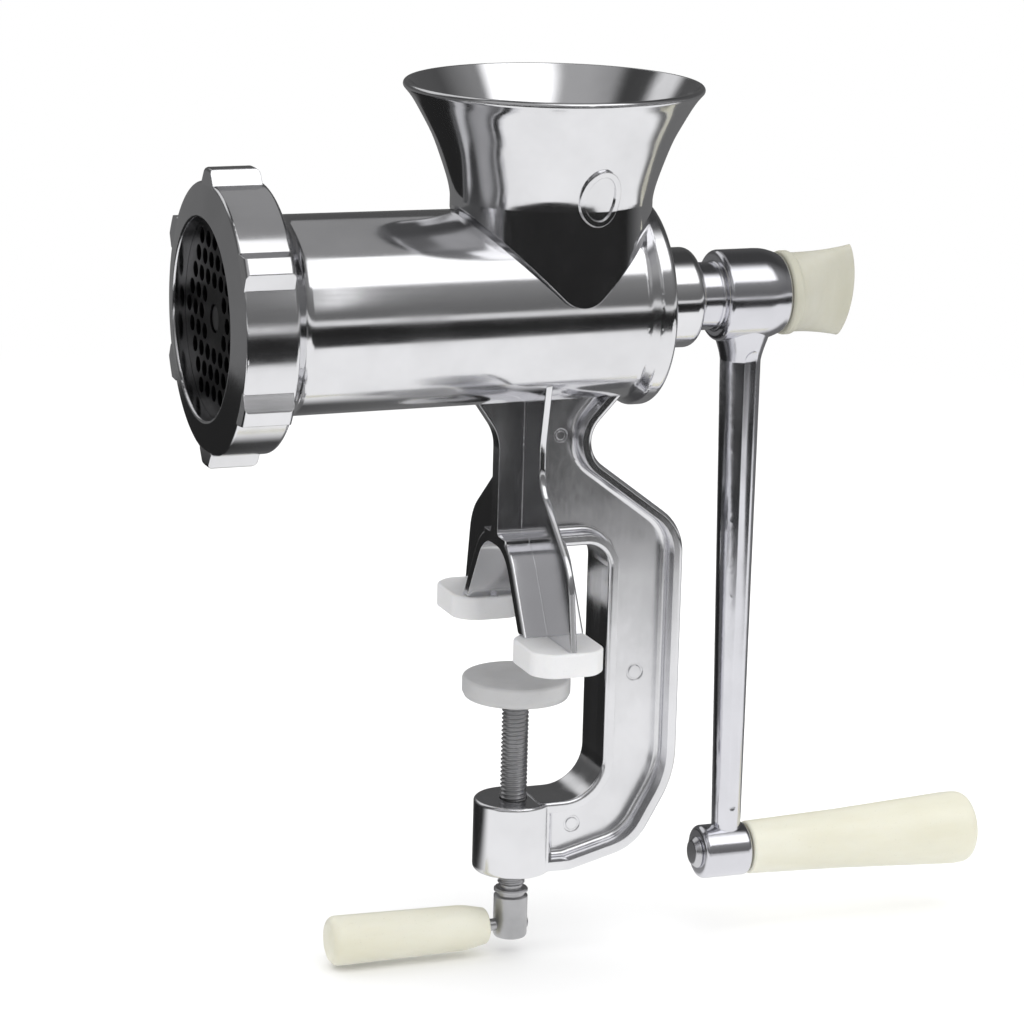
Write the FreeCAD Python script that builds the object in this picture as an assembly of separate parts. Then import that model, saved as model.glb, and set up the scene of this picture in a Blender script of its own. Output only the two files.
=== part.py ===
import FreeCAD, Part
import math
import os

# A hand crank meat grinder, No. 8 size. Millimetres, +Z up.
# The origin is on the clamp screw's axis, at the level of the table top that the jaw pads rest on.
# The barrel runs along X: the outlet is at -X and the crank at +X.

os.makedirs("parts", exist_ok=True)

Vec = FreeCAD.Vector
AXIS_X = Vec(1, 0, 0)
AXIS_Y = Vec(0, 1, 0)
AXIS_Z = Vec(0, 0, 1)
SIDES = (-1, 1)

# Barrel
BARREL_Z = 97.8
BARREL_R_FRONT = 28.0
BARREL_R_REAR = 27.4
BORE_R = 25.0
KNIFE_CHAMBER_R = 27.6
HEAD_R = 35.5
HEAD_FRONT_X = -89.4
HEAD_REAR_X = -80.5
NECK_FRONT_X = -73.6
HEAD_THREAD_PITCH = 2.5
HEAD_THREAD_DEPTH = 0.8
HEAD_THREAD_COUNT = 3
HEAD_THREAD_HALF_WIDTH = 0.4
REAR_FLANGE_R = 30.0
REAR_FLANGE_X0 = 29.5
REAR_FLANGE_X1 = 34.5
REAR_BOSS_R = 14.4
REAR_BOSS_X = 50.0
INNER_REAR_X = 29.0
SEAT_CLEARANCE = 0.05

# Outlet: ring nut, plate and knife
RING_FRONT_X = -96.0
RING_EDGE_X = -94.0
RING_LIP_X = -91.9
RING_REAR_X = -78.6
RING_R = 38.0
RING_OPENING_R = 28.0
RING_THREAD_CLEARANCE = 0.08
LUG_COUNT = 6
LUG_TIP_R = 41.9
LUG_FOOT_R = RING_R - 0.4
LUG_ROOT_R = RING_R - 1.3
LUG_HALF_WIDTH = 2.4
LUG_BASE_HALF_WIDTH = 5.4
LUG_FRONT_X = -94.2
LUG_REAR_X = -80.0
PLATE_R = 31.0
PLATE_THICKNESS = 6.0
PLATE_HOLE_R = 2.3
PLATE_HOLE_PITCH = 6.1
PLATE_HOLE_FIELD_R = 26.5
STUD_R = 4.0
PLATE_CENTRE_R = STUD_R + 0.08
KEY_PIN_R = 1.5
KNIFE_R = 26.4
KNIFE_HUB_R = 9.0
KNIFE_THICKNESS = 8.4
BLADE_WIDTH = 8.0
FRONT_SQUARE = 10.5

# Feed screw
SCREW_R = 24.6
SCREW_FRONT_X = -77.0
SCREW_PITCH = 21.0
SCREW_ROOT_FRONT_R = 8.6
SCREW_ROOT_REAR_R = 12.0
FLIGHT_THICKNESS = 4.0
SCREW_DISC_X0 = 22.5
SCREW_DISC_X1 = 27.4
SHAFT_R = 8.0
BUSH_WALL = 2.4
RUNNING_CLEARANCE = 0.06
REAR_SQUARE = 11.0
SQUARE_CLEARANCE = 0.05
WING_THREAD_R = 4.0
WING_BORE_DEPTH_X = 56.0

# Hopper
HOPPER_X = 6.65
HOPPER_TOP_Z = 160.7
HOPPER_RIM_R = 42.4
HOPPER_THROAT_R = 23.0
SADDLE_R = 28.6
SADDLE_TIP_Z = BARREL_Z + 0.3
SADDLE_TIP_ROUND = 8.0
HOPPER_PROFILE = (
    (SADDLE_R, 128.5), (29.1, 131.5), (30.2, 135.3), (31.9, 140.2), (34.3, 146.2), (37.2, 151.6), (40.2, 156.6),
)
HOPPER_RIM_UNDER_Z = 158.9
HOPPER_INNER_PROFILE = (
    (HOPPER_THROAT_R, 124.5), (24.9, 130.5), (27.2, 136.5), (30.5, 143.6), (34.7, 150.8), (38.4, 156.6),
)
HOPPER_INNER_RIM_R = 41.0
BADGE_ANGLE = -84.0
BADGE_Z = 132.3
BADGE_HALF_WIDTH = 6.2
BADGE_HALF_HEIGHT = 7.9
BADGE_HEIGHT = 0.9
BADGE_RIM = 1.6
BADGE_FIELD_HEIGHT = 0.35

# Clamp frame
FRAME_HALF_DEPTH = 9.0
WEB_HALF_DEPTH = 2.5
FRAME_RIM = 3.0
FRAME_EDGE_ROUND = 1.2
WEB_CORNER_ROUND = 1.6
THROAT_TOP_Z = 28.3
THROAT_REAR_X = 24.4
THROAT_CORNER_R = 7.0
FRONT_RIB_X = -8.0
WING_PLATE_X0 = -0.6
WING_PLATE_X1 = 1.4
ARCH_REAR_X = 10.5
ARCH_INNER = (21.3, 8.4, 28.3, 11.5)
ARCH_OUTER = (25.4, 10.4, 31.8, 15.0)
FOOT_Z0 = 2.6
FOOT_Z1 = 5.4
FOOT_Y = 32.0
FOOT_GAP_HALF = 20.0
FOOT_LENGTH_X = 17.6
FOOT_LENGTH_Y = 20.4
MARKS = ((10.7, 59.6, 2.0), (36.0, -12.5, 2.6), (17.6, -57.4, 2.5))
MARK_WIDTH = 0.7
MARK_DEPTH = 0.35

# Jaw pads and pressure disc
PAD_LENGTH_X = 22.0
PAD_LENGTH_Y = 25.0
PAD_TOP_Z = 7.0
PAD_CHAMFER = 4.5
PAD_CORNER_R = 6.0
DISC_R = 15.75
DISC_Z0 = -17.5
DISC_Z1 = -11.4

# Clamp screw
CLAMP_SCREW_R = 4.0
CLAMP_BOSS_R = 11.6
CLAMP_BOSS_Z0 = -70.3
CLAMP_BOSS_Z1 = -48.5
SCREW_HEAD_R = 5.0
SCREW_HEAD_Z0 = -91.0
SCREW_HEAD_Z1 = -76.0
SWIVEL_HEAD_R = 5.6
SWIVEL_Z0 = -15.6
SWIVEL_Z1 = -13.6
TOMMY_Z = -87.2
TOMMY_R = 1.8
CLAMP_GRIP_X0 = -7.6
CLAMP_GRIP_X1 = -56.0

# Crank
HUB_R = 13.2
HUB_X0 = 57.5
HUB_X1 = 78.0
HUB_END_R = 11.3
COLLAR_R = 9.8
COLLAR_X0 = 51.0
ARM_TOP_X = 66.9
ARM_BOTTOM_X = 68.2
ARM_TOP = (5.9, 6.1)
ARM_BOTTOM = (4.3, 4.2)
ARM_TOP_DROP = 19.0
SHOULDER = ((6.0, 9.0, 9.4), (12.0, 7.9, 8.3), (15.8, 6.6, 7.1))
FLUTE_R = 4.4
FLUTE_X = 68.3
FLUTE_TOP = (78.8, 0.9)
FLUTE_BOTTOM = (-56.0, 0.35)
CRANK_RADIUS = 168.7
CRANK_Z = BARREL_Z - CRANK_RADIUS
END_BOSS_R = 8.0
END_BOSS_X0 = 59.2
END_BOSS_X1 = 74.4
SPINDLE_R = 3.0
GRIP_X0 = 74.7
GRIP_X1 = 148.5
WING_COLLAR_R = 12.2
WING_TIP_X = 100.4
WING_TIP_ROUND = 60.0
WING_TILT = 14.0


def cylinder(radius, start, end):
    """A round bar from one point to the other."""
    run = end - start
    return Part.makeCylinder(radius, run.Length, start, run)


def bar_x(radius, x0, x1, z=BARREL_Z, y=0.0):
    return cylinder(radius, Vec(x0, y, z), Vec(x1, y, z))


def bar_z(radius, z0, z1, x=0.0, y=0.0):
    return cylinder(radius, Vec(x, y, z0), Vec(x, y, z1))


def box(x0, x1, y0, y1, z0, z1):
    return Part.makeBox(x1 - x0, y1 - y0, z1 - z0, Vec(x0, y0, z0))


def rounded_wire(corners):
    """A closed wire through corners (point, radius), each corner rounded by an arc of its radius."""
    count = len(corners)
    starts = []
    ends = []
    arcs = []
    for i, (point, radius) in enumerate(corners):
        back = (corners[i - 1][0] - point).normalize()
        ahead = (corners[(i + 1) % count][0] - point).normalize()
        if radius == 0:
            starts.append(point)
            ends.append(point)
            arcs.append(None)
            continue
        half = back.getAngle(ahead) / 2
        setback = radius / math.tan(half)
        middle = (back + ahead).normalize() * (radius / math.sin(half) - radius)
        starts.append(point + back * setback)
        ends.append(point + ahead * setback)
        arcs.append(Part.Arc(starts[-1], point + middle, ends[-1]).toShape())
    edges = []
    for i in range(count):
        if arcs[i]:
            edges.append(arcs[i])
        following = starts[(i + 1) % count]
        if ends[i].distanceToPoint(following) > 1e-6:
            edges.append(Part.makeLine(ends[i], following))
    return Part.Wire(edges)


def prism_y(corners, half_depth):
    """Corners (x, z, radius) made into a prism from -half_depth to +half_depth in Y."""
    wire = rounded_wire([(Vec(x, -half_depth, z), radius) for x, z, radius in corners])
    return Part.Face(wire).extrude(AXIS_Y * (2 * half_depth))


def prism_x(corners, x0, x1):
    """Corners (y, z, radius) made into a prism from x0 to x1."""
    wire = rounded_wire([(Vec(x0, y, z), radius) for y, z, radius in corners])
    return Part.Face(wire).extrude(AXIS_X * (x1 - x0))


def prism_z(corners, z0, z1):
    """Corners (x, y, radius) made into a prism from z0 to z1."""
    wire = rounded_wire([(Vec(x, y, z0), radius) for x, y, radius in corners])
    return Part.Face(wire).extrude(AXIS_Z * (z1 - z0))


def rectangle(x_middle, y_middle, x_length, y_length, radius):
    """The four rounded corners of a rectangle."""
    signs = ((-1, -1), (1, -1), (1, 1), (-1, 1))
    return [(x_middle + sx * x_length / 2, y_middle + sy * y_length / 2, radius) for sx, sy in signs]


def turned_x(corners, z=BARREL_Z):
    """Corners (x, r, radius) turned about the line along X at height z."""
    wire = rounded_wire([(Vec(x, 0, z + r), radius) for x, r, radius in corners])
    return Part.Face(wire).revolve(Vec(0, 0, z), AXIS_X, 360)


def turned_z(corners, x=0.0):
    """Corners (r, z, radius) turned about the upright line at x."""
    wire = rounded_wire([(Vec(x + r, 0, z), radius) for r, z, radius in corners])
    return Part.Face(wire).revolve(Vec(x, 0, 0), AXIS_Z, 360)


def smooth_edge(points):
    """One smooth curve through the points."""
    curve = Part.BSplineCurve()
    curve.interpolate(points)
    return curve.toShape()


def rounded(shape, radius, wanted):
    """The shape with the edges that wanted() picks rounded."""
    edges = [edge for edge in shape.Edges if wanted(edge)]
    return shape.makeFillet(radius, edges)


def lies_at(edge, direction, places, tolerance=0.01):
    """True for an edge whose whole length is at one of the places along the direction."""
    along = [vertex.Point.dot(direction) for vertex in edge.Vertexes]
    along.append(edge.CenterOfMass.dot(direction))
    return any(all(abs(value - place) < tolerance for value in along) for place in places)


def one_solid(shape):
    """The shape as a plain solid with its seams merged."""
    clean = shape.removeSplitter()
    return clean.Solids[0] if len(clean.Solids) == 1 else clean


def write(name, shape):
    shape = one_solid(shape)
    volume = shape.Volume / 1000
    print(f"{name:18s} solids {len(shape.Solids)}  valid {shape.isValid()}  volume {volume:8.2f} cm3")
    shape.exportStep(f"parts/{name}.step")


def barrel_outside():
    """The tapering tube with its enlarged front head and rear flange, before it is bored."""
    first = HEAD_FRONT_X + HEAD_THREAD_PITCH / 2
    thread = []
    for i in range(HEAD_THREAD_COUNT):
        middle = first + i * HEAD_THREAD_PITCH
        thread.append((middle - HEAD_THREAD_HALF_WIDTH, HEAD_R, 0))
        thread.append((middle, HEAD_R - HEAD_THREAD_DEPTH, 0))
        thread.append((middle + HEAD_THREAD_HALF_WIDTH, HEAD_R, 0))
    return turned_x([
        (HEAD_FRONT_X, 0, 0),
        (HEAD_FRONT_X, HEAD_R, 0.6),
    ] + thread + [
        (HEAD_REAR_X, HEAD_R, 0.4),
        (NECK_FRONT_X, BARREL_R_FRONT, 4.0),
        (REAR_FLANGE_X0 - 2.6, BARREL_R_REAR, 2.0),
        (REAR_FLANGE_X0, REAR_FLANGE_R, 1.5),
        (REAR_FLANGE_X1, REAR_FLANGE_R, 2.2),
        (REAR_FLANGE_X1 + 1.6, REAR_BOSS_R, 1.8),
        (REAR_BOSS_X, REAR_BOSS_R, 2.8),
        (REAR_BOSS_X, 0, 0),
    ])


def barrel(outside):
    bored = outside.cut(bar_x(PLATE_R + SEAT_CLEARANCE, HEAD_FRONT_X - 1, RING_LIP_X + PLATE_THICKNESS))
    bored = bored.cut(bar_x(KNIFE_CHAMBER_R, HEAD_FRONT_X, SCREW_FRONT_X + 1))
    bored = bored.cut(bar_x(BORE_R, HEAD_FRONT_X, INNER_REAR_X))
    bored = bored.cut(bar_x(SHAFT_R + RUNNING_CLEARANCE + BUSH_WALL, HEAD_FRONT_X, REAR_BOSS_X + 1))
    bored = bored.cut(bar_z(HOPPER_THROAT_R, BARREL_Z, HOPPER_TOP_Z, HOPPER_X))
    return bored.cut(key_pin())


def hopper(outside):
    """The trumpet funnel, with the V-shaped saddle that its sides run down into on the barrel."""
    def at(points):
        return [Vec(HOPPER_X + r, 0, z) for r, z in points]
    rim = ((HOPPER_RIM_R - 0.3, HOPPER_RIM_UNDER_Z), (HOPPER_RIM_R, HOPPER_TOP_Z - 0.9), (41.7, HOPPER_TOP_Z))
    foot = ((0, BARREL_Z), (SADDLE_R, BARREL_Z), HOPPER_PROFILE[0])
    top = (rim[-1], (0, HOPPER_TOP_Z))
    edges = [Part.makePolygon(at(foot)), smooth_edge(at(HOPPER_PROFILE + (rim[0],)))]
    edges += [Part.Arc(*at(rim)).toShape(), Part.makePolygon(at(top)), Part.makeLine(*at((top[1], foot[0])))]
    outer = Part.Face(Part.Wire([edge for item in edges for edge in item.Edges]))
    outer = outer.revolve(Vec(HOPPER_X, 0, 0), AXIS_Z, 360)

    inner_top = ((HOPPER_INNER_RIM_R, HOPPER_TOP_Z + 0.01), (0, HOPPER_TOP_Z + 0.01))
    inner_foot = ((0, BARREL_Z - 1), (HOPPER_THROAT_R, BARREL_Z - 1), HOPPER_INNER_PROFILE[0])
    edges = [Part.makePolygon(at(inner_foot)), smooth_edge(at(HOPPER_INNER_PROFILE + (inner_top[0],)))]
    edges += [Part.makeLine(*at(inner_top)), Part.makeLine(*at((inner_top[1], inner_foot[0])))]
    inner = Part.Face(Part.Wire([edge for item in edges for edge in item.Edges]))
    inner = inner.revolve(Vec(HOPPER_X, 0, 0), AXIS_Z, 360)

    reach = HOPPER_RIM_R + 12
    vee = prism_y([
        (HOPPER_X, SADDLE_TIP_Z, SADDLE_TIP_ROUND),
        (HOPPER_X + reach, SADDLE_TIP_Z + reach, 0),
        (HOPPER_X + reach, HOPPER_TOP_Z + 5, 0),
        (HOPPER_X - reach, HOPPER_TOP_Z + 5, 0),
        (HOPPER_X - reach, SADDLE_TIP_Z + reach, 0),
    ], reach)
    shell = outer.common(vee).fuse(hopper_badge(outer)).cut(inner)
    return shell.cut(outside)


def hopper_badge(funnel):
    """A raised oval rim round a blank field on the funnel's side, following its surface."""
    rim = badge_layer(funnel, BADGE_HEIGHT, 0).cut(badge_oval(BADGE_RIM))
    return rim.fuse(badge_layer(funnel, BADGE_FIELD_HEIGHT, 0))


def badge_layer(funnel, height, inset):
    return funnel.makeOffsetShape(height, 0.01, fill=False).common(badge_oval(inset))


def badge_oval(inset):
    """An oval bar that stands out of the funnel's axis at the badge, smaller all round by the inset."""
    ellipse = Part.Ellipse(Vec(0, 0, 0), BADGE_HALF_HEIGHT - inset, BADGE_HALF_WIDTH - inset).toShape()
    oval = Part.Face(Part.Wire([ellipse])).extrude(AXIS_Z * HOPPER_RIM_R)
    oval.rotate(Vec(0, 0, 0), AXIS_Y, 90)
    oval.rotate(Vec(0, 0, 0), AXIS_Z, BADGE_ANGLE)
    oval.translate(Vec(HOPPER_X, 0, BADGE_Z))
    return oval


def frame_outline():
    """The frame's side outline: neck, slanted shoulder, spine, lower arm, and the clamp gap's inner edge."""
    return [
        (32.4, 78.0, 0),
        (13.5, 57.5, 9),
        (47.4, 32.0, 16),
        (47.4, -43.0, 30),
        (35.5, -64.0, 16),
        (15.0, -69.5, 0),
        (5.0, -69.5, 0),
        (5.0, -48.2, 0),
        (THROAT_REAR_X, -48.2, 12),
        (THROAT_REAR_X, THROAT_TOP_Z, THROAT_CORNER_R),
        (FRONT_RIB_X, THROAT_TOP_Z, 0),
        (FRONT_RIB_X, 60.5, 12),
        (-20.0, 78.0, 0),
    ]


def frame_web():
    """The frame's I-section: a thin web with a rim on both sides along the outer and inner edges."""
    full = prism_y(frame_outline(), FRAME_HALF_DEPTH)
    faces = (-FRAME_HALF_DEPTH, FRAME_HALF_DEPTH)
    full = rounded(full, FRAME_EDGE_ROUND, lambda edge: lies_at(edge, AXIS_Y, faces))
    outline = rounded_wire([(Vec(x, 0, z), radius) for x, z, radius in frame_outline()])
    inset = Part.Face(outline.makeOffset2D(-FRAME_RIM))
    front_clear = Part.Face(rounded_wire([
        (Vec(FRONT_RIB_X - 20, 0, 90), 0),
        (Vec(12, 0, 90), 0),
        (Vec(12, 0, THROAT_TOP_Z + FRAME_RIM), 0),
        (Vec(FRONT_RIB_X - 20, 0, THROAT_TOP_Z + FRAME_RIM), 0),
    ]))
    pocket_face = inset.fuse(front_clear).removeSplitter()
    pocket = pocket_face.extrude(AXIS_Y * (FRAME_HALF_DEPTH + 2))
    pocket.translate(AXIS_Y * WEB_HALF_DEPTH)
    pocket = rounded(pocket, WEB_CORNER_ROUND, lambda edge: lies_at(edge, AXIS_Y, (WEB_HALF_DEPTH,)))
    other = pocket.mirror(Vec(0, 0, 0), AXIS_Y)
    return full.cut(pocket).cut(other)


def arch_block(half, crown_half, crown_z, radius, x0, x1):
    """A block with slanting sides and a round crown that rises from the pads' top face."""
    foot_corners = [(half, PAD_TOP_Z, 0), (-half, PAD_TOP_Z, 0)]
    return prism_x(foot_corners + [(-crown_half, crown_z, radius), (crown_half, crown_z, radius)], x0, x1)


def front_arch():
    """The thin cross plate that flares to both feet, and the arch-shaped wall that stiffens it."""
    right = [(20.6, 84.0, 0), (15.5, 60.0, 20), (15.6, 48.5, 10), (39.5, 29.0, 16), (43.6, FOOT_Z1, 0)]
    left = [(-y, z, radius) for y, z, radius in reversed(right)]
    plate = prism_x(right + left, WING_PLATE_X0, WING_PLATE_X1)
    plate = rounded(plate, 0.7, lambda edge: lies_at(edge, AXIS_X, (WING_PLATE_X0, WING_PLATE_X1)))
    wall = arch_block(*ARCH_OUTER, FRONT_RIB_X, ARCH_REAR_X)
    wall = rounded(wall, 0.8, lambda edge: lies_at(edge, AXIS_X, (FRONT_RIB_X, ARCH_REAR_X)))
    feet = [foot(side) for side in SIDES]
    reach = (FRONT_RIB_X - 1, THROAT_REAR_X - THROAT_CORNER_R)
    hollow = arch_block(*ARCH_INNER, *reach)
    hollow = hollow.fuse(box(*reach, -FOOT_GAP_HALF, FOOT_GAP_HALF, FOOT_Z0, PAD_TOP_Z))
    return plate.fuse([wall] + feet).cut(hollow), hollow


def foot(side):
    """A flat foot that its jaw pad is moulded round."""
    sole = prism_z(rectangle(0, side * FOOT_Y, FOOT_LENGTH_X, FOOT_LENGTH_Y, 3.0), FOOT_Z0, FOOT_Z1)
    return rounded(sole, 1.0, lambda edge: lies_at(edge, AXIS_Z, (FOOT_Z1,)))


def clamp_boss():
    boss = turned_z([
        (0, CLAMP_BOSS_Z0, 0),
        (CLAMP_BOSS_R, CLAMP_BOSS_Z0, 1.8),
        (CLAMP_BOSS_R, CLAMP_BOSS_Z1, 1.0),
        (0, CLAMP_BOSS_Z1, 0),
    ])
    return boss


def moulding_mark(x, z, radius):
    """A shallow round witness mark left in the web by the casting die."""
    top = Vec(x, -WEB_HALF_DEPTH + MARK_DEPTH, z)
    bottom = Vec(x, -WEB_HALF_DEPTH - MARK_DEPTH, z)
    return cylinder(radius, bottom, top).cut(cylinder(radius - MARK_WIDTH, bottom, top))


def clamp_frame(outside, arch, hollow):
    frame = frame_web().fuse([arch, clamp_boss()])
    frame = frame.cut(hollow)
    frame = frame.cut(bar_z(CLAMP_SCREW_R + RUNNING_CLEARANCE, CLAMP_BOSS_Z0 - 1, CLAMP_BOSS_Z1 + 1))
    for x, z, radius in MARKS:
        frame = frame.cut(moulding_mark(x, z, radius))
    return frame.cut(outside)


def jaw_pad(side, arch):
    """A plastic block with rounded corners, moulded round the arch's foot."""
    half_x = PAD_LENGTH_X / 2
    half_y = PAD_LENGTH_Y / 2
    signs = ((-1, -1), (1, -1), (1, 1), (-1, 1))
    corners = []
    for sx, sy in signs:
        along = (sx * (half_x - PAD_CHAMFER), side * FOOT_Y + sy * half_y, PAD_CORNER_R)
        across = (sx * half_x, side * FOOT_Y + sy * (half_y - PAD_CHAMFER), PAD_CORNER_R)
        corners += [along, across] if sx * sy < 0 else [across, along]
    pad = prism_z(corners, 0, PAD_TOP_Z)
    pad = rounded(pad, 0.7, lambda edge: lies_at(edge, AXIS_Z, (0, PAD_TOP_Z)))
    return pad.cut(arch)


def lug(angle):
    """One finger lug of the ring nut, with sloping flanks and rounded ends."""
    half = LUG_HALF_WIDTH
    base = LUG_BASE_HALF_WIDTH
    block = prism_x([
        (-base, LUG_ROOT_R, 0), (base, LUG_ROOT_R, 0), (base, LUG_FOOT_R, 0),
        (half, LUG_TIP_R, 0.8), (-half, LUG_TIP_R, 0.8), (-base, LUG_FOOT_R, 0),
    ], LUG_FRONT_X, LUG_REAR_X)
    block.translate(AXIS_Z * BARREL_Z)
    block = block.common(turned_x([
        (LUG_FRONT_X, 0, 0), (LUG_FRONT_X, LUG_TIP_R, 1.2), (LUG_REAR_X, LUG_TIP_R, 1.6), (LUG_REAR_X, 0, 0),
    ]))
    block.rotate(Vec(0, 0, BARREL_Z), AXIS_X, angle)
    return block


def ring_nut():
    body = turned_x([
        (RING_FRONT_X, RING_OPENING_R, 0.7),
        (RING_EDGE_X, RING_R, 0.8),
        (RING_REAR_X, RING_R, 1.4),
        (RING_REAR_X, HEAD_R + RING_THREAD_CLEARANCE, 0),
        (RING_LIP_X, HEAD_R + RING_THREAD_CLEARANCE, 0),
        (RING_LIP_X, RING_OPENING_R, 0),
    ])
    lugs = [lug(i * 360 / LUG_COUNT) for i in range(LUG_COUNT)]
    return body.fuse(lugs)


def key_pin():
    return bar_x(KEY_PIN_R, HEAD_FRONT_X, HEAD_FRONT_X + 6.5, BARREL_Z - PLATE_R)


def plate_hole_centres():
    """A hexagonal pattern of hole centres, leaving the middle and the rim solid."""
    row_height = PLATE_HOLE_PITCH * math.sqrt(3) / 2
    reach = int(PLATE_HOLE_FIELD_R / row_height) + 1
    for row in range(-reach, reach + 1):
        for column in range(-reach, reach + 1):
            y = (column + row / 2) * PLATE_HOLE_PITCH
            z = row * row_height
            if PLATE_HOLE_PITCH * 1.2 < math.hypot(y, z) <= PLATE_HOLE_FIELD_R:
                yield y, z


def cutting_plate():
    x0 = RING_LIP_X
    x1 = RING_LIP_X + PLATE_THICKNESS
    plate = bar_x(PLATE_R, x0, x1)
    holes = [bar_x(PLATE_HOLE_R, x0 - 1, x1 + 1, BARREL_Z + z, y) for y, z in plate_hole_centres()]
    holes.append(bar_x(PLATE_CENTRE_R, x0 - 1, x1 + 1))
    holes.append(bar_x(KEY_PIN_R + 0.08, x0 - 1, x1 + 1, BARREL_Z - PLATE_R))
    return plate.cut(holes)


def square_bar(side, x0, x1):
    return box(x0, x1, -side / 2, side / 2, BARREL_Z - side / 2, BARREL_Z + side / 2)


def cross_knife():
    """Four blades on a square-holed hub, each flat against the plate and sloped behind."""
    x0 = RING_LIP_X + PLATE_THICKNESS + 0.1
    x1 = x0 + KNIFE_THICKNESS
    knife = bar_x(KNIFE_HUB_R, x0, x1)
    for i in range(4):
        outline = rounded_wire([
            (Vec(x0, -BLADE_WIDTH / 2, BARREL_Z), 0),
            (Vec(x0, BLADE_WIDTH / 2, BARREL_Z), 0),
            (Vec(x0 + 2.0, BLADE_WIDTH / 2, BARREL_Z), 0),
            (Vec(x1 - 2.0, -BLADE_WIDTH / 2 + 3.0, BARREL_Z), 1.0),
            (Vec(x1 - 2.0, -BLADE_WIDTH / 2, BARREL_Z), 0.6),
        ])
        blade = Part.Face(outline).extrude(AXIS_Z * KNIFE_R)
        blade.rotate(Vec(0, 0, BARREL_Z), AXIS_X, i * 90)
        knife = knife.fuse(blade)
    knife = knife.common(bar_x(KNIFE_R, x0, x1))
    return knife.cut(square_bar(FRONT_SQUARE + 2 * SQUARE_CLEARANCE, x0 - 1, x1 + 1))


def screw_flight():
    """The feed screw's helical blade."""
    length = SCREW_DISC_X0 - SCREW_FRONT_X - 6
    helix = Part.makeHelix(SCREW_PITCH, length, SCREW_ROOT_FRONT_R)
    half = FLIGHT_THICKNESS / 2
    corners = (
        Vec(SCREW_ROOT_FRONT_R - 3, 0, -half - 0.6), Vec(SCREW_R, 0, -half + 0.8),
        Vec(SCREW_R, 0, half - 0.8), Vec(SCREW_ROOT_FRONT_R - 3, 0, half + 0.6),
    )
    profile = Part.makePolygon(list(corners) + [corners[0]])
    flight = Part.Wire(helix.Edges).makePipeShell([profile], True, True)
    flight.rotate(Vec(0, 0, 0), AXIS_Y, 90)
    flight.translate(Vec(SCREW_FRONT_X + 3, 0, BARREL_Z))
    return flight


def auger():
    core = turned_x([
        (SCREW_FRONT_X, 0, 0),
        (SCREW_FRONT_X, SCREW_ROOT_FRONT_R, 0.5),
        (SCREW_DISC_X0, SCREW_ROOT_REAR_R, 2.0),
        (SCREW_DISC_X0, SCREW_R, 0.5),
        (SCREW_DISC_X1, SCREW_R, 0.5),
        (SCREW_DISC_X1, SHAFT_R, 0),
        (COLLAR_X0, SHAFT_R, 0),
        (COLLAR_X0, 0, 0),
    ])
    square = square_bar(REAR_SQUARE, COLLAR_X0, HUB_X1 - 3)
    core = core.fuse(square.common(bar_x(SHAFT_R - 0.3, COLLAR_X0, HUB_X1)))
    core = core.fuse(square_bar(FRONT_SQUARE, RING_LIP_X + PLATE_THICKNESS + 0.6, SCREW_FRONT_X))
    core = core.fuse(screw_flight())
    core = core.cut(bar_x(STUD_R, RING_LIP_X, SCREW_FRONT_X + 12))
    return core.cut(bar_x(WING_THREAD_R + RUNNING_CLEARANCE, WING_BORE_DEPTH_X, HUB_X1 + 1))


def knife_stud():
    return turned_x([
        (RING_LIP_X + 0.4, 0, 0), (RING_LIP_X + 0.4, STUD_R, 0.8),
        (SCREW_FRONT_X + 12, STUD_R, 0), (SCREW_FRONT_X + 12, 0, 0),
    ])


def thrust_washer():
    ring = bar_x(21.0, SCREW_DISC_X1 + 0.1, INNER_REAR_X)
    return ring.cut(bar_x(SHAFT_R + RUNNING_CLEARANCE, SCREW_DISC_X1 - 1, INNER_REAR_X + 1))


def bearing_bush():
    """A plain sleeve in the rear boss."""
    return turned_x([
        (INNER_REAR_X, SHAFT_R + RUNNING_CLEARANCE, 0),
        (INNER_REAR_X, SHAFT_R + RUNNING_CLEARANCE + BUSH_WALL, 0),
        (REAR_BOSS_X + 0.4, SHAFT_R + RUNNING_CLEARANCE + BUSH_WALL, 0.3),
        (REAR_BOSS_X + 0.4, SHAFT_R + RUNNING_CLEARANCE, 0),
    ])


def oval_section(z, half_x, half_y, x=ARM_TOP_X):
    middle = Vec(x, 0, z)
    if half_x >= half_y:
        ellipse = Part.Ellipse(middle + AXIS_X * half_x, middle + AXIS_Y * half_y, middle)
    else:
        ellipse = Part.Ellipse(middle + AXIS_Y * half_y, middle - AXIS_X * half_x, middle)
    return Part.Wire([ellipse.toShape()])


def flute(side):
    """The tool of the shallow round groove down one face of the arm, running out at its foot."""
    def at(z, depth):
        share = (BARREL_Z - ARM_TOP_DROP - z) / (BARREL_Z - ARM_TOP_DROP - CRANK_Z - 4)
        surface = ARM_TOP[1] + (ARM_BOTTOM[1] - ARM_TOP[1]) * share
        return Vec(FLUTE_X, side * (surface + FLUTE_R - depth), z)
    top = at(*FLUTE_TOP)
    bottom = at(*FLUTE_BOTTOM)
    ends = [Part.makeSphere(FLUTE_R, end) for end in (top, bottom)]
    return cylinder(FLUTE_R, top, bottom).fuse(ends)


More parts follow.
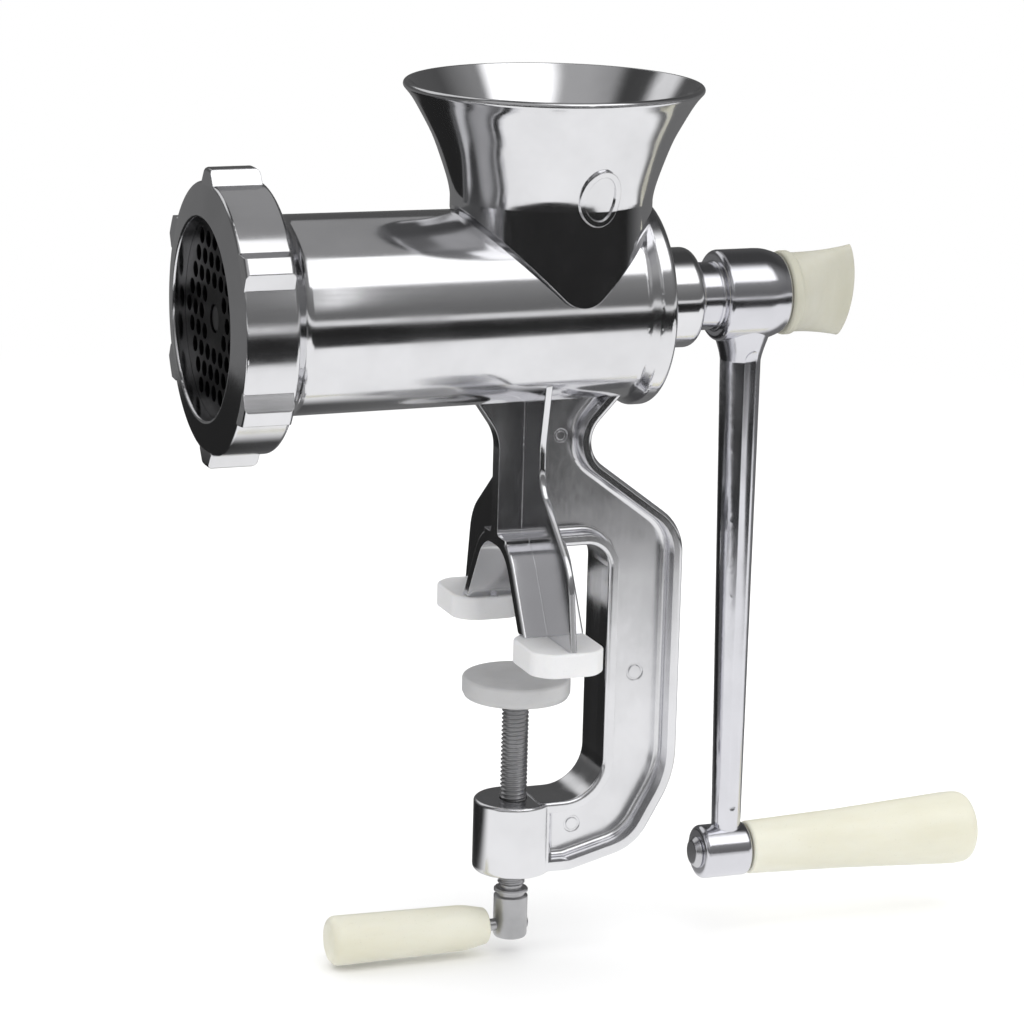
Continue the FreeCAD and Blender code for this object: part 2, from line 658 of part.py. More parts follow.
def crank_arm():
    """Hub, flared shoulder, tapering oval arm and end boss, cast in one piece."""
    hub = turned_x([
        (COLLAR_X0, 0, 0), (COLLAR_X0, COLLAR_R, 0.6), (HUB_X0, COLLAR_R, 0.6), (HUB_X0, HUB_R, 1.6),
        (HUB_X1 - 5.0, HUB_R, 14.0), (HUB_X1, HUB_END_R, 0.8), (HUB_X1, 0, 0),
    ])
    arm_top = oval_section(BARREL_Z - ARM_TOP_DROP, *ARM_TOP)
    flare = [oval_section(BARREL_Z - drop, half_x, half_y) for drop, half_x, half_y in SHOULDER]
    shoulder = Part.makeLoft(flare + [arm_top], True, False)
    arm = Part.makeLoft([arm_top, oval_section(CRANK_Z + 4, *ARM_BOTTOM, ARM_BOTTOM_X)], True, True)
    arm = arm.fuse(shoulder).cut([flute(side) for side in SIDES])
    boss = turned_x([
        (END_BOSS_X0, 0, 0), (END_BOSS_X0, END_BOSS_R, 1.6),
        (END_BOSS_X1, END_BOSS_R, 1.6), (END_BOSS_X1, 0, 0),
    ], CRANK_Z)
    arm = arm.fuse(boss).cut(square_bar(REAR_SQUARE + 2 * SQUARE_CLEARANCE, COLLAR_X0 - 1, HUB_X1 + 1))
    hub = hub.cut(square_bar(REAR_SQUARE + 2 * SQUARE_CLEARANCE, COLLAR_X0 - 1, HUB_X1 + 1))
    return hub.fuse(arm).cut(bar_x(SPINDLE_R, END_BOSS_X0 - 1, END_BOSS_X1 + 1, CRANK_Z))


def handle_spindle():
    """The rivet: domed head, shank through the arm and grip, and a retaining head near its far end."""
    return turned_x([
        (END_BOSS_X0 - 1.9, 0, 0), (END_BOSS_X0 - 1.9, 3.6, 0.8),
        (END_BOSS_X0, 5.2, 0.4), (END_BOSS_X0, SPINDLE_R, 0),
        (GRIP_X1 - 15, SPINDLE_R, 0), (GRIP_X1 - 15, 4.4, 0.3),
        (GRIP_X1 - 11.5, 4.4, 0.8), (GRIP_X1 - 11.5, 0, 0),
    ], CRANK_Z)


def crank_grip():
    outer = turned_x([
        (GRIP_X0, 0, 0), (GRIP_X0, 7.9, 1.0), (GRIP_X0 + 30, 8.9, 60), (GRIP_X1 - 6, 11.0, 30),
        (GRIP_X1, 10.6, 3.6), (GRIP_X1, 0, 0),
    ], CRANK_Z)
    bore = bar_x(SPINDLE_R + RUNNING_CLEARANCE, GRIP_X0 - 1, GRIP_X1 - 11, CRANK_Z)
    catch = bar_x(4.5, GRIP_X1 - 15.2, GRIP_X1 - 11, CRANK_Z)
    return outer.cut(bore).cut(catch)


def wing_section(x, half_thin, half_wide):
    middle = Vec(x, 0, BARREL_Z)
    wide = AXIS_Z * half_wide
    thin = AXIS_Y * half_thin
    return Part.Wire([Part.Ellipse(middle + wide, middle + thin, middle).toShape()])


def wing_screw_head():
    """A round collar that flattens into a fan-shaped wing."""
    collar = turned_x([
        (HUB_X1 + 0.05, 0, 0), (HUB_X1 + 0.05, WING_COLLAR_R, 1.0),
        (HUB_X1 + 3.4, WING_COLLAR_R, 1.2), (HUB_X1 + 3.4, 0, 0),
    ])
    wing = Part.makeLoft([
        wing_section(HUB_X1 + 1.0, 11.4, 11.5),
        wing_section(HUB_X1 + 6.0, 9.6, 11.9),
        wing_section(HUB_X1 + 11.0, 6.6, 12.6),
        wing_section(HUB_X1 + 17.0, 4.4, 13.6),
        wing_section(WING_TIP_X + 2.0, 3.2, 15.6),
    ], True, False)
    tip_centre_x = WING_TIP_X - WING_TIP_ROUND
    rounding = cylinder(WING_TIP_ROUND, Vec(tip_centre_x, -20, BARREL_Z), Vec(tip_centre_x, 20, BARREL_Z))
    wing = wing.common(rounding)
    head = collar.fuse(wing)
    head.rotate(Vec(0, 0, BARREL_Z), AXIS_X, WING_TILT)
    return head.cut(bar_x(WING_THREAD_R + RUNNING_CLEARANCE, HUB_X1 - 1, HUB_X1 + 11.2))


def wing_screw_stud():
    return turned_x([
        (WING_BORE_DEPTH_X + 1.0, 0, 0), (WING_BORE_DEPTH_X + 1.0, WING_THREAD_R, 0.8),
        (HUB_X1 + 11.0, WING_THREAD_R, 0.4), (HUB_X1 + 11.0, 0, 0),
    ])


def clamp_screw():
    """The threaded rod with its swivel head on top and its drilled turning head below."""
    screw = turned_z([
        (0, SCREW_HEAD_Z0, 0), (SCREW_HEAD_R, SCREW_HEAD_Z0, 1.0), (SCREW_HEAD_R, SCREW_HEAD_Z1 - 2.4, 0.4),
        (SCREW_HEAD_R - 0.9, SCREW_HEAD_Z1 - 2.0, 0), (SCREW_HEAD_R - 0.9, SCREW_HEAD_Z1 - 1.2, 0),
        (SCREW_HEAD_R, SCREW_HEAD_Z1 - 0.9, 0), (SCREW_HEAD_R, SCREW_HEAD_Z1, 0.4),
        (CLAMP_SCREW_R, SCREW_HEAD_Z1, 0),
        (CLAMP_SCREW_R, SWIVEL_Z0, 0), (SWIVEL_HEAD_R, SWIVEL_Z0, 0.4), (SWIVEL_HEAD_R, SWIVEL_Z1, 0.8),
        (0, SWIVEL_Z1, 0),
    ])
    return screw.cut(bar_x(TOMMY_R, -SCREW_HEAD_R - 1, SCREW_HEAD_R + 1, TOMMY_Z))


def pressure_disc():
    disc = turned_z([
        (0, DISC_Z0, 0), (DISC_R - 0.8, DISC_Z0, 0.8), (DISC_R, DISC_Z0 + 1.6, 0.8),
        (DISC_R, DISC_Z1, 1.0), (0, DISC_Z1, 0),
    ])
    disc = disc.cut(bar_z(CLAMP_SCREW_R + 0.3, DISC_Z0 - 1, SWIVEL_Z1))
    return disc.cut(bar_z(SWIVEL_HEAD_R + RUNNING_CLEARANCE, SWIVEL_Z0 - 0.05, SWIVEL_Z1 + 0.05))


def clamp_handle_pin():
    return turned_x([
        (CLAMP_GRIP_X1 + 8, 0, 0), (CLAMP_GRIP_X1 + 8, TOMMY_R, 0.4),
        (SCREW_HEAD_R + 0.2, TOMMY_R, 0.4), (SCREW_HEAD_R + 0.2, 0, 0),
    ], TOMMY_Z)


def clamp_grip():
    grip = turned_x([
        (CLAMP_GRIP_X1, 0, 0), (CLAMP_GRIP_X1, 7.3, 2.4), (CLAMP_GRIP_X0 - 7, 6.7, 20),
        (CLAMP_GRIP_X0, 5.2, 1.2), (CLAMP_GRIP_X0, 0, 0),
    ], TOMMY_Z)
    return grip.cut(bar_x(TOMMY_R, CLAMP_GRIP_X1 + 8, 0, TOMMY_Z))


def main():
    outside = barrel_outside()
    write("barrel", barrel(outside))
    write("hopper", hopper(outside))
    arch, hollow = front_arch()
    write("clamp_frame", clamp_frame(outside, arch, hollow))
    write("left_jaw_pad", jaw_pad(-1, arch))
    write("right_jaw_pad", jaw_pad(1, arch))
    write("bearing_bush", bearing_bush())
    write("thrust_washer", thrust_washer())
    write("plate_key_pin", key_pin())
    write("ring_nut", ring_nut())
    write("cutting_plate", cutting_plate())
    write("cross_knife", cross_knife())
    write("knife_stud", knife_stud())
    write("auger", auger())
    write("crank_arm", crank_arm())
    write("handle_spindle", handle_spindle())
    write("crank_grip", crank_grip())
    write("wing_screw_head", wing_screw_head())
    write("wing_screw_stud", wing_screw_stud())
    write("clamp_screw", clamp_screw())
    write("pressure_disc", pressure_disc())
    write("clamp_handle_pin", clamp_handle_pin())
    write("clamp_grip", clamp_grip())


main()
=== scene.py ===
import math

import bmesh
import bpy
from mathutils import Matrix, Vector


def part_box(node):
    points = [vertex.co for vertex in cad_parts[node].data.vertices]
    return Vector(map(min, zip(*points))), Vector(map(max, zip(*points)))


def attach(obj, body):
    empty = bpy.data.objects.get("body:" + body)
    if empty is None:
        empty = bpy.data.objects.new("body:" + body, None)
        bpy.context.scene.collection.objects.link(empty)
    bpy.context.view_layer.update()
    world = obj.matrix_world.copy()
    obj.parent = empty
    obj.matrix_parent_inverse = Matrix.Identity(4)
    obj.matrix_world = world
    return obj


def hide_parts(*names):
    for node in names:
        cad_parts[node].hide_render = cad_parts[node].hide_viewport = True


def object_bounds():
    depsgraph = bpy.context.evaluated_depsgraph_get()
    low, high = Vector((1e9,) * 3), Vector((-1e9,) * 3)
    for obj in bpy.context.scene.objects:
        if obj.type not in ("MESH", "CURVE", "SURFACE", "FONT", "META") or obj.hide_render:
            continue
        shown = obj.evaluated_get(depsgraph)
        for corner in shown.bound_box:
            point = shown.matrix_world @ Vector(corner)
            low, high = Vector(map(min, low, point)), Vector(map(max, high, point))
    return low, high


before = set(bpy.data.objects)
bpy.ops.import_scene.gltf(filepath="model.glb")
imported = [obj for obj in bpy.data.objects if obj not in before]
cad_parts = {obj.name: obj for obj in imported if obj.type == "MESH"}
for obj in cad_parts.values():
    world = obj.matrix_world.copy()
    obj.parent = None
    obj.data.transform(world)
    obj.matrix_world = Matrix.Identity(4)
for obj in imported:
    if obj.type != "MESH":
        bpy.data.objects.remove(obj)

# The looks of a hand crank meat grinder: its finishes, its screw threads and the studio round it. Metres.

CAD_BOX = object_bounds()
MM = 0.001

# Camera
CAMERA_AZIMUTH = math.radians(-20.97)
CAMERA_ELEVATION = math.radians(13.80)
CAMERA_ROLL = math.radians(1.49)
CAMERA_TARGET = Vector((-4.5, -4.7, 38.6)) * MM
CAMERA_DISTANCE = 1.15
CAMERA_LENS = 141.8

# Threads of the clamp screw and the wing screw
THREAD_PITCH = 1.25 * MM
THREAD_DEPTH = 0.6 * MM

# Cove that the camera sees
FLOOR_GAP = 1.0 * MM
FLOOR_R = 3.0
FLOOR_HOLE_R = 0.1
COVE_R = 0.8
WALL_TOP_Z = 3.0
FLOOR_COLOUR = (0.93, 0.93, 0.93, 1)
BACKDROP_COLOUR = (1.0, 1.0, 1.0, 1)

# Table top and cards that only the metal mirrors. A card has its corners, the heights between which it brightens,
# and its strength below and above them.
MIRRORED_TABLE_R = 0.72
BRIGHT_TABLE_FRONT = -0.37
CARDS = {
    "top_card": (
        ((-0.03, -0.09, 0.42), (0.085, -0.09, 0.42), (0.20, 0.45, 0.42), (0.03, 0.45, 0.42)),
        (0.40, 0.41), (0.30, 0.30),
    ),
    "front_card": (
        ((0.014, -0.3, 0.155), (0.030, -0.3, 0.155), (0.066, -0.3, 0.35), (0.050, -0.3, 0.35)),
        (0.15, 0.24), (0.20, 1.2),
    ),
}

# Room that the metal mirrors: (height, grey level), from straight down at 0 to straight up at 1
FRONT_ROOM = (
    (0.0, 0.02), (0.45, 0.02), (0.470, 0.03), (0.4775, 0.85), (0.5175, 0.85), (0.5275, 0.14), (0.65, 0.19),
    (0.78, 0.27), (1.0, 0.20),
)
BACK_ROOM = ((0.0, 0.16), (0.46, 0.16), (0.5, 0.14), (0.53, 0.10), (0.7, 0.09), (0.85, 0.06), (1.0, 0.06))

# Softboxes in that room. Azimuth and elevation are in degrees, and each side is (inside, outside): the tangents
# where it starts and ends its fade.
KEY_BOX = {
    "azimuth": 22, "elevation": 50, "left": (-0.30, -0.55), "right": (0.30, 0.55),
    "bottom": (-0.20, -0.24), "top": (0.25, 0.85), "strength": 1.35,
}
LEFT_BOX = {
    "azimuth": -55, "elevation": 45, "left": (-0.35, -0.6), "right": (0.35, 0.6),
    "bottom": (-0.35, -0.6), "top": (0.35, 0.6), "strength": 0.20,
}
REAR_BOX = {
    "azimuth": 205, "elevation": 40, "left": (-0.30, -0.5), "right": (0.30, 0.5),
    "bottom": (-0.25, -0.4), "top": (0.30, 0.5), "strength": 0.7,
}

# Area lights: size, power, azimuth and elevation in degrees, distance
AREA_LIGHTS = {
    "overhead": (1.4, 8.0, 0, 84, 1.5),
    "front_fill": (1.2, 3.5, 20, 30, 1.6),
    "rear_fill": (1.2, 4.0, 150, 35, 1.6),
}


class Nodes:
    """Adds nodes to a tree, setting or joining their inputs as they are made."""

    def __init__(self, tree):
        self.tree = tree
        tree.nodes.clear()

    def add(self, kind, inputs=None, **settings):
        made = self.tree.nodes.new("ShaderNode" + kind)
        for name, value in settings.items():
            setattr(made, name, value)
        for key, value in (inputs or {}).items():
            if isinstance(value, bpy.types.NodeSocket):
                self.tree.links.new(value, made.inputs[key])
            else:
                made.inputs[key].default_value = value
        return made

    def math(self, operation, *values):
        return self.add("Math", dict(enumerate(values)), operation=operation).outputs[0]

    def dot(self, first, second):
        return self.add("VectorMath", {0: first, 1: second}, operation="DOT_PRODUCT").outputs["Value"]

    def length(self, vector):
        return self.add("VectorMath", {0: vector}, operation="LENGTH").outputs["Value"]

    def ramp(self, value, low, high, to_low=0.0, to_high=1.0, smooth=False):
        """A value stretched from one range to another, and held at its ends."""
        inputs = {"Value": value, "From Min": low, "From Max": high, "To Min": to_low, "To Max": to_high}
        kind = "SMOOTHSTEP" if smooth else "LINEAR"
        return self.add("MapRange", inputs, interpolation_type=kind).outputs["Result"]

    def noise(self, vector, scale, detail=4.0, roughness=0.55):
        inputs = {"Vector": vector, "Scale": scale, "Detail": detail, "Roughness": roughness}
        return self.add("TexNoise", inputs).outputs["Fac"]

    def stretched(self, vector, scale):
        return self.add("Mapping", {"Vector": vector, "Scale": scale}).outputs["Vector"]

    def mixed(self, share, first, second):
        """Two colours mixed by a share."""
        made = self.add("Mix", {"Factor": share}, data_type="RGBA")
        for socket, value in zip((made.inputs[6], made.inputs[7]), (first, second)):
            if isinstance(value, bpy.types.NodeSocket):
                self.tree.links.new(value, socket)
            else:
                socket.default_value = value
        return made.outputs[2]

    def stops(self, value, points):
        """Grey levels (place, level) along a value, joined by straight runs."""
        made = self.add("ValToRGB", {"Fac": value})
        elements = made.color_ramp.elements
        while len(elements) < len(points):
            elements.new(0.5)
        for element, (place, level) in zip(elements, points):
            element.position = place
            element.color = (level, level, level, 1)
        return made.outputs["Color"]


def rgba(colour, shade=1.0):
    return (colour[0] * shade, colour[1] * shade, colour[2] * shade, 1)


def new_material(name):
    material = bpy.data.materials.new(name)
    material.use_nodes = True
    return material, Nodes(material.node_tree)


def placed(name, data):
    """A new object in the scene."""
    obj = bpy.data.objects.new(name, data)
    bpy.context.scene.collection.objects.link(obj)
    return obj


def direction_to(azimuth, elevation):
    """The direction at an azimuth from -Y towards +X and an elevation, in radians."""
    across = math.cos(elevation)
    return math.sin(azimuth) * across, -math.cos(azimuth) * across, math.sin(elevation)


def edge_share(nodes, width, coords):
    """1 on worn edges, fading to 0 within the width, and broken up along them."""
    rounded = nodes.add("Bevel", {"Radius": width}, samples=6).outputs["Normal"]
    true_normal = nodes.add("NewGeometry").outputs["Normal"]
    facing = nodes.dot(rounded, true_normal)
    near = nodes.ramp(facing, 0.995, 0.86)
    patchy = nodes.ramp(nodes.noise(coords, 260.0), 0.3, 0.62)
    return nodes.math("MULTIPLY", near, patchy)


def bumps(nodes, layers, edge_radius):
    """Bump layers (height, distance, strength) on top of slightly rounded edges."""
    normal = nodes.add("Bevel", {"Radius": edge_radius}, samples=4).outputs["Normal"]
    for height, distance, strength in layers:
        inputs = {"Height": height, "Distance": distance, "Strength": strength, "Normal": normal}
        normal = nodes.add("Bump", inputs).outputs["Normal"]
    return normal


def finish_surface(nodes, **inputs):
    shader = nodes.add("BsdfPrincipled", {key.replace("_", " "): value for key, value in inputs.items()})
    nodes.add("OutputMaterial", {"Surface": shader.outputs["BSDF"]})


def metal(name, colour, roughness, wobble=0.03, grain=(1, 1, 1), spread=0.05, lathe=False, stain=0.9,
          matt_web=False):
    """A cast or turned metal: tint and polish that vary, soft waves, grinding lines, and worn edges.

    Wobble is the waves' depth in millimetres. Lathe adds turned rings about the X axis, and matt_web dulls the
    thin web in the middle plane.
    """
    material, nodes = new_material(name)
    coords = nodes.add("TexCoord").outputs["Object"]
    cloud = nodes.ramp(nodes.noise(coords, 38.0, 5.0), 0.35, 0.7)
    worn = edge_share(nodes, 0.5 * MM, coords)
    tint = nodes.mixed(cloud, rgba(colour), rgba(colour, stain))
    tint = nodes.mixed(worn, tint, rgba(colour, 1.12))

    lines = nodes.noise(nodes.stretched(coords, grain), 900.0, 3.0)
    polish = nodes.ramp(nodes.math("ADD", lines, cloud), 0.4, 1.5, roughness - spread, roughness + spread)
    polish = nodes.math("ADD", polish, nodes.math("MULTIPLY", worn, 0.06))
    if matt_web:
        depth = nodes.math("ABSOLUTE", nodes.add("SeparateXYZ", {0: coords}).outputs["Y"])
        web = nodes.ramp(depth, 3.4 * MM, 2.6 * MM)
        polish = nodes.math("ADD", polish, nodes.math("MULTIPLY", web, 0.05))

    waves = nodes.noise(coords, 48.0, 2.0, 0.4)
    layers = [(waves, wobble * MM, 1.0), (lines, 0.004 * MM, 0.6)]
    if lathe:
        radius = nodes.length(nodes.stretched(coords, (0, 1, 1)))
        rings = nodes.math("SINE", nodes.math("MULTIPLY", radius, 2 * math.pi / (0.35 * MM)))
        layers.append((rings, 0.004 * MM, 0.5))
    finish_surface(nodes, Base_Color=tint, Metallic=1.0, Roughness=polish, Normal=bumps(nodes, layers, 0.35 * MM))
    return material


def plastic(name, colour, shade, roughness, streaks=(1, 1, 1), soft=0.0):
    """A moulded plastic: faint streaks along the flow, a fine orange-peel skin, and grubby, scuffed edges."""
    material, nodes = new_material(name)
    coords = nodes.add("TexCoord").outputs["Object"]
    flow = nodes.ramp(nodes.noise(nodes.stretched(coords, streaks), 60.0, 5.0), 0.36, 0.68)
    specks = nodes.ramp(nodes.noise(coords, 1500.0, 2.0), 0.66, 0.74)
    scuffed = edge_share(nodes, 0.6 * MM, coords)
    tint = nodes.mixed(flow, rgba(colour), rgba(shade))
    tint = nodes.mixed(nodes.math("MULTIPLY", specks, 0.25), tint, rgba(shade, 0.72))
    tint = nodes.mixed(nodes.math("MULTIPLY", scuffed, 0.35), tint, rgba(shade, 0.8))
    skin = nodes.noise(coords, 900.0, 3.0)
    polish = nodes.ramp(nodes.math("ADD", flow, skin), 0.5, 1.5, roughness - 0.06, roughness + 0.08)
    polish = nodes.math("ADD", polish, nodes.math("MULTIPLY", scuffed, 0.15))
    layers = [(flow, 0.03 * MM, 0.5), (skin, 0.012 * MM, 0.5)]
    finish_surface(
        nodes, Base_Color=tint, Roughness=polish, Normal=bumps(nodes, layers, 0.4 * MM),
        Subsurface_Weight=soft, Subsurface_Scale=2.0 * MM, Subsurface_Radius=(1.0, 0.8, 0.5),
    )
    return material


def make_finishes():
    """One material for each kind of surface, by name. The wing and disc plastics are darker copies of the ivory
    and white plastics, with painted shade.
    """
    aluminium = (0.80, 0.80, 0.82)
    along_barrel = (0.06, 1, 1)
    return {
        "barrel": metal("polished_barrel", aluminium, 0.13, 0.02, along_barrel, spread=0.04),
        "hopper": metal("polished_hopper", aluminium, 0.11, 0.05, (1, 1, 0.2), spread=0.04),
        "frame": metal("cast_frame", aluminium, 0.15, 0.06, (1, 1, 0.3), spread=0.04, matt_web=True),
        "ring": metal("turned_ring", aluminium, 0.15, 0.02, along_barrel),
        "crank": metal("polished_crank", (0.74, 0.74, 0.78), 0.16, 0.05, (1, 1, 0.08)),
        "plate": metal("ground_plate_steel", (0.030, 0.030, 0.032), 0.45, 0.01, lathe=True, stain=0.6),
        "knife": metal("knife_steel", (0.12, 0.12, 0.125), 0.36, 0.01, stain=0.7),
        "auger": metal("tinned_iron", (0.60, 0.60, 0.61), 0.34, 0.05, stain=0.75, spread=0.09),
        "screw": metal("plated_screw_steel", (0.52, 0.52, 0.53), 0.36, 0.01, stain=0.7, spread=0.08),
        "rivet": metal("rivet_steel", (0.60, 0.60, 0.62), 0.24, 0.01, stain=0.8),
        "ivory": plastic("ivory_plastic", (0.74, 0.73, 0.63), (0.66, 0.64, 0.51), 0.36, (0.3, 1, 1), 0.15),
        "white": plastic("white_plastic", (0.74, 0.74, 0.745), (0.68, 0.68, 0.69), 0.44, (1, 1, 1), 0.1),
        # Painted shade: a darker copy of the ivory plastic, standing in for the shade on the wing screw head.
        "wing": plastic("shaded_wing_ivory", (0.52, 0.51, 0.44), (0.45, 0.44, 0.35), 0.38, (1, 1, 0.3), 0.1),
        # Painted shade: a darker copy of the white plastic, standing in for the shade on the pressure disc.
        "disc": plastic("shaded_disc_white", (0.50, 0.50, 0.505), (0.44, 0.44, 0.445), 0.46, (1, 1, 1), 0.1),
        "nylon": plastic("natural_nylon", (0.80, 0.78, 0.68), (0.70, 0.68, 0.58), 0.45),
    }


# The wing and disc finishes carry painted shade: they are darker copies of the ivory and white plastics.
NODE_FINISHES = {
    "barrel": "barrel", "hopper": "hopper", "clamp_frame": "frame", "ring_nut": "ring", "crank_arm": "crank",
    "cutting_plate": "plate", "cross_knife": "knife", "knife_stud": "knife", "auger": "auger",
    "handle_spindle": "rivet", "plate_key_pin": "knife", "clamp_handle_pin": "screw", "clamp_screw": "screw",
    "wing_screw_stud": "screw", "crank_grip": "ivory", "clamp_grip": "ivory", "wing_screw_head": "wing",
    "left_jaw_pad": "white", "right_jaw_pad": "white", "pressure_disc": "disc", "bearing_bush": "nylon",
    "thrust_washer": "nylon",
}


def dress(obj, material):
    obj.data.materials.clear()
    obj.data.materials.append(material)


def threaded_rod(name, profile, frame_of):
    """A turned rod. Its profile is (place along the axis, radius, threaded) from one end to the other.

    Threaded stretches carry a helical groove. frame_of turns (along, across, up) into a point.
    """
    segments = 48
    rows_per_turn = 10
    rings = []
    for (start, radius, threaded), (end, end_radius, _) in zip(profile, profile[1:]):
        steps = max(1, round(abs(end - start) / THREAD_PITCH * rows_per_turn)) if threaded else 1
        for step in range(steps):
            share = step / steps
            along = start + (end - start) * share
            rings.append((along, radius + (end_radius - radius) * share, threaded and step > 0))
    rings.append(profile[-1])
    mesh = bmesh.new()
    loops = []
    for along, radius, threaded in rings:
        loop = []
        for i in range(segments):
            turn = i / segments
            phase = (along / THREAD_PITCH - turn) % 1.0
            groove = THREAD_DEPTH * min(1.0, max(0.0, 1.25 - abs(phase - 0.5) * 2.5)) if threaded else 0.0
            angle = 2 * math.pi * turn
            reach = radius - groove
            loop.append(mesh.verts.new(frame_of(along, reach * math.cos(angle), reach * math.sin(angle))))
        loops.append(loop)
    for lower, upper in zip(loops, loops[1:]):
        for i in range(segments):
            j = (i + 1) % segments
            mesh.faces.new((lower[i], lower[j], upper[j], upper[i]))
    mesh.faces.new(list(reversed(loops[0])))
    mesh.faces.new(loops[-1])
    bmesh.ops.recalc_face_normals(mesh, faces=mesh.faces)
    data = bpy.data.meshes.new(name)
    mesh.to_mesh(data)
    mesh.free()
    for polygon in data.polygons:
        polygon.use_smooth = len(polygon.vertices) == 4
    data.set_sharp_from_angle(angle=math.radians(35))
    return placed(name, data)


def clamp_screw(finish):
    """The clamp's rod, with its swivel head above and its turning head below."""
    low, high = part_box("clamp_screw")
    centre = (low + high) / 2
    head_r = 5.0 * MM
    rod_r = 4.0 * MM
    swivel_r = high.x - centre.x
    head_top = low.z + 15.0 * MM
    swivel_z = high.z - 2.0 * MM
    profile = [
        (low.z, head_r - 1.0 * MM, False), (low.z + 0.3 * MM, head_r - 0.3 * MM, False),
        (low.z + 1.0 * MM, head_r, False), (head_top - 2.4 * MM, head_r, False),
        (head_top - 2.0 * MM, head_r - 0.9 * MM, False), (head_top - 1.2 * MM, head_r - 0.9 * MM, False),
        (head_top - 0.9 * MM, head_r, False), (head_top - 0.3 * MM, head_r, False),
        (head_top, head_r - 0.3 * MM, False), (head_top, rod_r - 0.6 * MM, False),
        (head_top + 1.2 * MM, rod_r - 0.6 * MM, False), (head_top + 1.8 * MM, rod_r, True),
        (swivel_z - 2.0 * MM, rod_r, False), (swivel_z, rod_r - 0.5 * MM, False),
        (swivel_z, swivel_r - 0.3 * MM, False), (swivel_z + 0.3 * MM, swivel_r, False),
        (high.z - 0.5 * MM, swivel_r, False), (high.z, swivel_r - 0.6 * MM, False),
    ]
    rod = threaded_rod(
        "clamp_screw_threaded", profile,
        lambda along, across, up: (centre.x + across, centre.y + up, along),
    )
    dress(rod, finish)
    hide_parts("clamp_screw")
    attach(rod, "clamp_spindle")


def wing_stud(finish):
    """The wing screw's threaded stud, with a chamfered tip."""
    low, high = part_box("wing_screw_stud")
    centre = (low + high) / 2
    radius = (high.y - low.y) / 2
    profile = [
        (low.x, radius - 1.0 * MM, False), (low.x + 0.8 * MM, radius - 0.1 * MM, True),
        (high.x - 1.0 * MM, radius - 0.1 * MM, False), (high.x, radius - 0.4 * MM, False),
    ]
    stud = threaded_rod(
        "wing_stud_threaded", profile,
        lambda along, across, up: (along, centre.y + across, centre.z + up),
    )
    dress(stud, finish)
    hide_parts("wing_screw_stud")
    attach(stud, "wing_stud")


def revolved_shell(name, profile, segments=96):
    """An open shell from a profile (radius, z) turned about the upright axis."""
    mesh = bmesh.new()
    loops = []
    for radius, z in profile:
        angles = [2 * math.pi * i / segments for i in range(segments)]
        loops.append([mesh.verts.new((radius * math.cos(a), radius * math.sin(a), z)) for a in angles])
    for lower, upper in zip(loops, loops[1:]):
        for i in range(segments):
            j = (i + 1) % segments
            mesh.faces.new((lower[i], lower[j], upper[j], upper[i]))
    mesh.faces.new(list(reversed(loops[0])))
    data = bpy.data.meshes.new(name)
    mesh.to_mesh(data)
    mesh.free()
    obj = placed(name, data)
    return obj


def floor_material():
    """Matt and pale near the object, where it takes a soft shadow, and evenly lit further out."""
    material, nodes = new_material("pale_floor")
    coords = nodes.add("TexCoord").outputs["Object"]
    share = nodes.ramp(nodes.length(coords), 0.35, 0.9, smooth=True)
    matt = nodes.add("BsdfDiffuse", {"Color": FLOOR_COLOUR}).outputs[0]
    lit = nodes.add("Emission", {"Color": BACKDROP_COLOUR}).outputs[0]
    mixed = nodes.add("MixShader", {0: share, 1: matt, 2: lit}).outputs[0]
    nodes.add("OutputMaterial", {"Surface": mixed})
    return material


def mirror_floor_material():
    """The table top that the metal mirrors: bright on the near side, and dim behind the object."""
    material, nodes = new_material("mirrored_table")
    coords = nodes.add("TexCoord").outputs["Object"]
    place = nodes.add("SeparateXYZ", {0: coords})
    edge = nodes.dot(coords, (0.3, 1, 0))
    near = nodes.ramp(edge, BRIGHT_TABLE_FRONT, BRIGHT_TABLE_FRONT + 0.02, 0.03, 1.0, smooth=True)
    far = nodes.ramp(place.outputs["X"], -0.05, 0.05, 0.02, 0.17)
    level = nodes.ramp(place.outputs["Y"], 0.0, 0.07, near, far, smooth=True)
    colour = nodes.add("CombineXYZ", {0: level, 1: level, 2: level}).outputs[0]
    lit = nodes.add("Emission", {"Color": colour}).outputs[0]
    nodes.add("OutputMaterial", {"Surface": lit})
    return material


def only_mirrored(obj):
    obj.visible_camera = False
    obj.visible_diffuse = False
    obj.visible_shadow = False


def floor_and_backdrop():
    """A pale cove for the camera, and the smaller bright table top that only the metal mirrors."""
    floor_z = CAD_BOX[0].z - FLOOR_GAP
    floor = [(radius, floor_z) for radius in (FLOOR_HOLE_R, 0.5, 1.0, 2.0)]
    arc = [math.radians(angle) for angle in range(0, 91, 6)]
    cove = [(FLOOR_R + COVE_R * math.sin(a), floor_z + COVE_R * (1 - math.cos(a))) for a in arc]
    ceiling = [(FLOOR_R + COVE_R, WALL_TOP_Z), (FLOOR_HOLE_R, WALL_TOP_Z)]
    backdrop = revolved_shell("floor_and_wall", floor + cove + ceiling)
    dress(backdrop, floor_material())
    backdrop.visible_glossy = False
    table = revolved_shell("mirrored_table", [(MIRRORED_TABLE_R * 0.5, floor_z), (MIRRORED_TABLE_R, floor_z)])
    dress(table, mirror_floor_material())
    only_mirrored(table)


